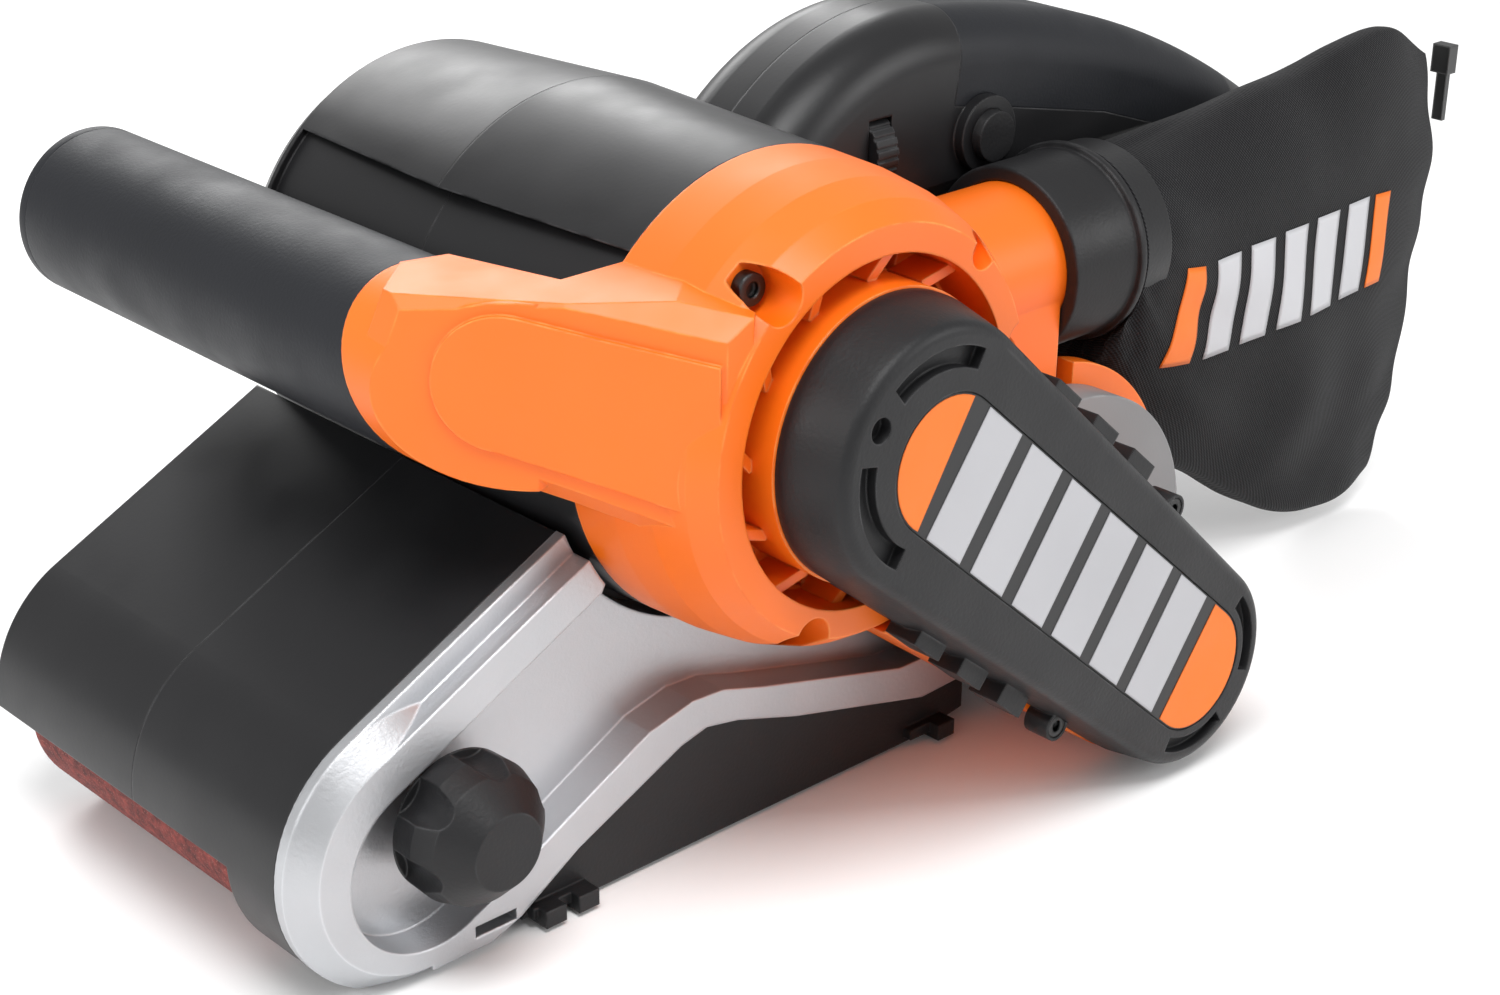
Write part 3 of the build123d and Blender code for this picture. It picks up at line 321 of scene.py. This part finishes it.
# ---------------------------------------------------------------- shading of the CAD nodes
def soften(node, width, angle=35):
    """Join the mesh's corners and round its sharp edges."""
    weld = node.modifiers.new("weld", "WELD")
    weld.merge_threshold = 0.00001
    bevel = node.modifiers.new("bevel", "BEVEL")
    bevel.width = width
    bevel.segments = 2
    bevel.limit_method = "ANGLE"
    bevel.angle_limit = math.radians(angle)
    bevel.use_clamp_overlap = True


SOFTENED = {
    "lower_side_wall": 0.4, "rear_side_cover": 1.2, "drive_cover": 0.5, "front_handle_end_cap": 0.8,
    "bag_collar": 0.6, "lock_button": 0.8, "trigger": 1.0, "tension_lever": 0.5, "rear_belt_guard": 0.6,
}
for name, width in SOFTENED.items():
    soften(NODES[name], width * MM)


# ---------------------------------------------------------------- new pieces
def mesh_piece(name, body, material, vertices, faces, smooth=True):
    """A new object that rides on a body."""
    mesh = bpy.data.meshes.new(name)
    mesh.from_pydata([tuple(v) for v in vertices], [], faces)
    mesh.validate()
    obj = bpy.data.objects.new(name, mesh)
    bpy.context.scene.collection.objects.link(obj)
    mesh.materials.append(MATERIALS[material])
    tidy = bmesh.new()
    tidy.from_mesh(mesh)
    bmesh.ops.recalc_face_normals(tidy, faces=tidy.faces)
    tidy.to_mesh(mesh)
    tidy.free()
    for polygon in mesh.polygons:
        polygon.use_smooth = smooth
    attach(obj, body)
    return obj


def spline_point(points, t):
    """Point on a smooth curve through the given points, t from 0 to 1."""
    count = len(points) - 1
    place = min(t * count, count - 1e-9)
    k = int(place)
    f = place - k
    p = [Vector(points[min(max(k + d, 0), count)]) for d in (-1, 0, 1, 2)]
    return 0.5 * (2 * p[1] + (p[2] - p[0]) * f + (2 * p[0] - 5 * p[1] + 4 * p[2] - p[3]) * f * f
                  + (3 * p[1] - p[0] - 3 * p[2] + p[3]) * f ** 3)


def plate(name, body, material, corners, thickness):
    """Thin flat plate from 3D corners, thickened along a vector."""
    count = len(corners)
    vertices = [Vector(c) for c in corners] + [Vector(c) + Vector(thickness) for c in corners]
    faces = [list(range(count)), list(range(2 * count - 1, count - 1, -1))]
    faces += [[k, (k + 1) % count, count + (k + 1) % count, count + k] for k in range(count)]
    return mesh_piece(name, body, material, vertices, faces, smooth=False)


# ---------------------------------------------------------------- dust bag
SPOUT_Y = -44.5
# profile of the bag from its neck to its rear edge: upper and lower outline as X and Z, and half thickness
BAG_TOP = [(109, 115.6), (118, 115.8), (132, 117.5), (158, 121.5), (186, 124.5), (204, 128.0), (224, 128.5),
           (241, 119.0)]
BAG_BOTTOM = [(109, 74.4), (112, 67.0), (122, 52.0), (141, 35.5), (165, 23.5), (190, 9.0), (214, 4.5),
              (236, 8.0)]
BAG_THICK = [20.6, 20.6, 19.0, 17.5, 16.0, 14.0, 9.0, 1.6]
BAG_ROWS, BAG_COLS = 60, 88


def bag_vertices():
    rows = []
    for r in range(BAG_ROWS + 1):
        t = r / BAG_ROWS
        top, low = spline_point(BAG_TOP, t), spline_point(BAG_BOTTOM, t)
        thick = max(1.6, spline_point([(v, 0) for v in BAG_THICK], t).x)
        middle, half = (top + low) / 2, (top - low) / 2
        bow = 9.0 * math.sin(math.pi * min(1.0, t * 1.02)) * (t > 0.6)
        row = []
        for c in range(BAG_COLS):
            a = 2 * math.pi * c / BAG_COLS
            across = math.copysign(abs(math.sin(a)) ** (1.0 - 0.25 * t), math.sin(a))
            point = middle + half * math.cos(a)
            x = point.x + (8.0 * math.sin(a) ** 2 + bow * 0.3) * t ** 3
            row.append(Vector((x, SPOUT_Y - 1.5 * t + thick * across, point.y)) * MM)
        rows.append(row)
    return rows


def simulate_cloth(obj, pinned, pressure, cap):
    """Inflate the fabric a little, then keep the result within a distance of its start."""
    start = [v.co.copy() for v in obj.data.vertices]
    group = obj.vertex_groups.new(name="held")
    group.add(pinned, 1.0, "REPLACE")
    cloth = obj.modifiers.new("cloth", "CLOTH")
    settings = cloth.settings
    settings.quality = 6
    settings.mass = 0.25
    settings.tension_stiffness = 18
    settings.compression_stiffness = 12
    settings.shear_stiffness = 6
    settings.bending_stiffness = 0.08
    settings.use_pressure = True
    settings.uniform_pressure_force = pressure
    settings.vertex_group_mass = "held"
    settings.shrink_min = -0.045
    settings.effector_weights.gravity = 0.25
    scene = bpy.context.scene
    for frame_number in range(1, 21):
        scene.frame_set(frame_number)
    shaped = obj.evaluated_get(bpy.context.evaluated_depsgraph_get()).to_mesh()
    moved = [v.co.copy() for v in shaped.vertices]
    obj.modifiers.remove(cloth)
    for vertex, old, new in zip(obj.data.vertices, start, moved):
        step = new - old
        if step.length > cap:
            step *= cap / step.length
        vertex.co = old + step
    scene.frame_set(1)


def crease(obj, strength):
    """Soft folds that fan out from the neck and gather at the lower corner."""
    normals = [v.normal.copy() for v in obj.data.vertices]
    for vertex, normal in zip(obj.data.vertices, normals):
        x, y, z = (c / MM for c in vertex.co)
        near_neck = max(0.0, 1 - abs(x - 135) / 45)
        low_corner = max(0.0, 1 - math.hypot((x - 205) / 60, (z - 18) / 45))
        rear_edge = max(0.0, 1 - abs(x - 236) / 30)
        angle = math.atan2(z - 95, x - 60)
        fan = math.sin(angle * 34 + 0.8 * math.sin(x * 0.05)) * near_neck * 0.5
        side = 3.0 if y < SPOUT_Y else 9.0
        gather = noise.noise(Vector((x * 0.022 + z * 0.035, z * 0.012 - x * 0.03, side)))
        ripple = math.sin(z * 0.30 + 2 * noise.noise(Vector((x, y, z)) * 0.03)) * rear_edge * 0.7
        broad = noise.noise(Vector((x * 0.018, y * 0.02, z * 0.024 + 5)))
        held = min(1.0, max(0.0, (x - 113) / 14))
        push = fan + gather * (1.6 + 5.0 * low_corner) + ripple + broad * 2.0
        vertex.co += normal * push * strength * held * MM


def build_bag():
    rows = bag_vertices()
    vertices = [v for row in rows for v in row]
    faces = []
    for r in range(BAG_ROWS):
        for c in range(BAG_COLS):
            n = (c + 1) % BAG_COLS
            faces.append([r * BAG_COLS + c, r * BAG_COLS + n, (r + 1) * BAG_COLS + n, (r + 1) * BAG_COLS + c])
    last = BAG_ROWS * BAG_COLS
    for c in range(BAG_COLS // 2):
        a, b = c, (c + 1) % BAG_COLS
        far_a, far_b = (BAG_COLS - c) % BAG_COLS, BAG_COLS - c - 1
        ring = [last + k for k in (a, b, far_b, far_a)]
        faces.append(list(dict.fromkeys(ring)))
    faces.append(list(range(BAG_COLS)))
    bag = mesh_piece("dust_bag_fabric", "bag", "bag_fabric", vertices, faces)
    simulate_cloth(bag, list(range(3 * BAG_COLS)), 2.5, 6 * MM)
    crease(bag, 0.8)
    bag.data.update()
    smooth = bag.modifiers.new("subdivision", "SUBSURF")
    smooth.levels = smooth.render_levels = 1
    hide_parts("dust_bag")
    return bag


def bag_surface(bag, x, z):
    """Where a line along Y first meets the bag's near side."""
    graph = bpy.context.evaluated_depsgraph_get()
    hit, place, normal, _ = bag.evaluated_get(graph).ray_cast(Vector((x, -0.2, z)), Vector((0, 1, 0)))
    return place if hit else None


def print_patch(bag, name, material, corners, steps=(14, 18)):
    """Printed block that follows the fabric. Corners run low left, low right, high right, high left."""
    low_left, low_right, high_right, high_left = (Vector(c) for c in corners)
    vertices, faces = [], []
    for i in range(steps[0] + 1):
        for j in range(steps[1] + 1):
            u, v = i / steps[0], j / steps[1]
            flat = low_left.lerp(low_right, u).lerp(high_left.lerp(high_right, u), v) * MM
            place = bag_surface(bag, flat.x, flat.y)
            vertices.append(place + Vector((0, -0.00025, 0)))
    wide = steps[1] + 1
    for i in range(steps[0]):
        for j in range(steps[1]):
            faces.append([i * wide + j, (i + 1) * wide + j, (i + 1) * wide + j + 1, i * wide + j + 1])
    patch = mesh_piece(name, "bag", material, vertices, faces)
    skin = patch.modifiers.new("solidify", "SOLIDIFY")
    skin.thickness = 0.0002
    skin.offset = 0
    return patch


bag = build_bag()
print_patch(bag, "bag_print_front", "print_orange", [(121, 66.9), (131, 65.6), (133, 88), (125.5, 89.5)])
for k in range(5):
    left = 135.5 + 13.8 * k
    print_patch(bag, f"bag_print_bar_{k + 1}", "print_white",
                [(left, 65.4), (left + 9.5, 65.2), (left + 12.5, 87.6), (left + 3.0, 87.8)], (8, 16))
print_patch(bag, "bag_print_rear", "print_orange", [(203.5, 65.0), (211, 64.6), (214, 86.4), (206.5, 87.2)])


# ---------------------------------------------------------------- drive cover label
COVER_START, COVER_END = Vector((1.4, 94.0)), Vector((81.5, 24.5))
LABEL_R = 13.0
LABEL_ENDS = (2.0, 106.0)


def cover_place(along, across, y):
    """Point on the drive cover, along and across the line from the motor to the drum."""
    run = (COVER_END - COVER_START).normalized()
    flat = COVER_START + run * along + Vector((-run.y, run.x)) * across
    return Vector((flat.x, y, flat.y)) * MM


def label_plate(name, material, outline):
    corners = [cover_place(along, across, -106.82) for along, across in outline]
    return plate(name, "base", material, corners, (0, -0.00012, 0))


def arc(centre, radius, start, stop, steps=24):
    angles = [math.radians(start + (stop - start) * k / steps) for k in range(steps + 1)]
    return [(centre + radius * math.cos(a), radius * math.sin(a)) for a in angles]


label_plate("label_end_wide", "print_orange", arc(LABEL_ENDS[0], LABEL_R, 103, 276))
for k in range(6):
    left = 5.0 + 16.0 * k
    bar = [(left + 1.6, -LABEL_R), (left + 13.6, -LABEL_R), (left + 11.4, LABEL_R), (left - 0.6, LABEL_R)]
    label_plate(f"label_bar_{k + 1}", "print_silver", bar)
right_end = [(100.8, LABEL_R), (102.6, -LABEL_R)] + arc(LABEL_ENDS[1], LABEL_R, -90, 90)
label_plate("label_end_narrow", "print_orange", right_end)
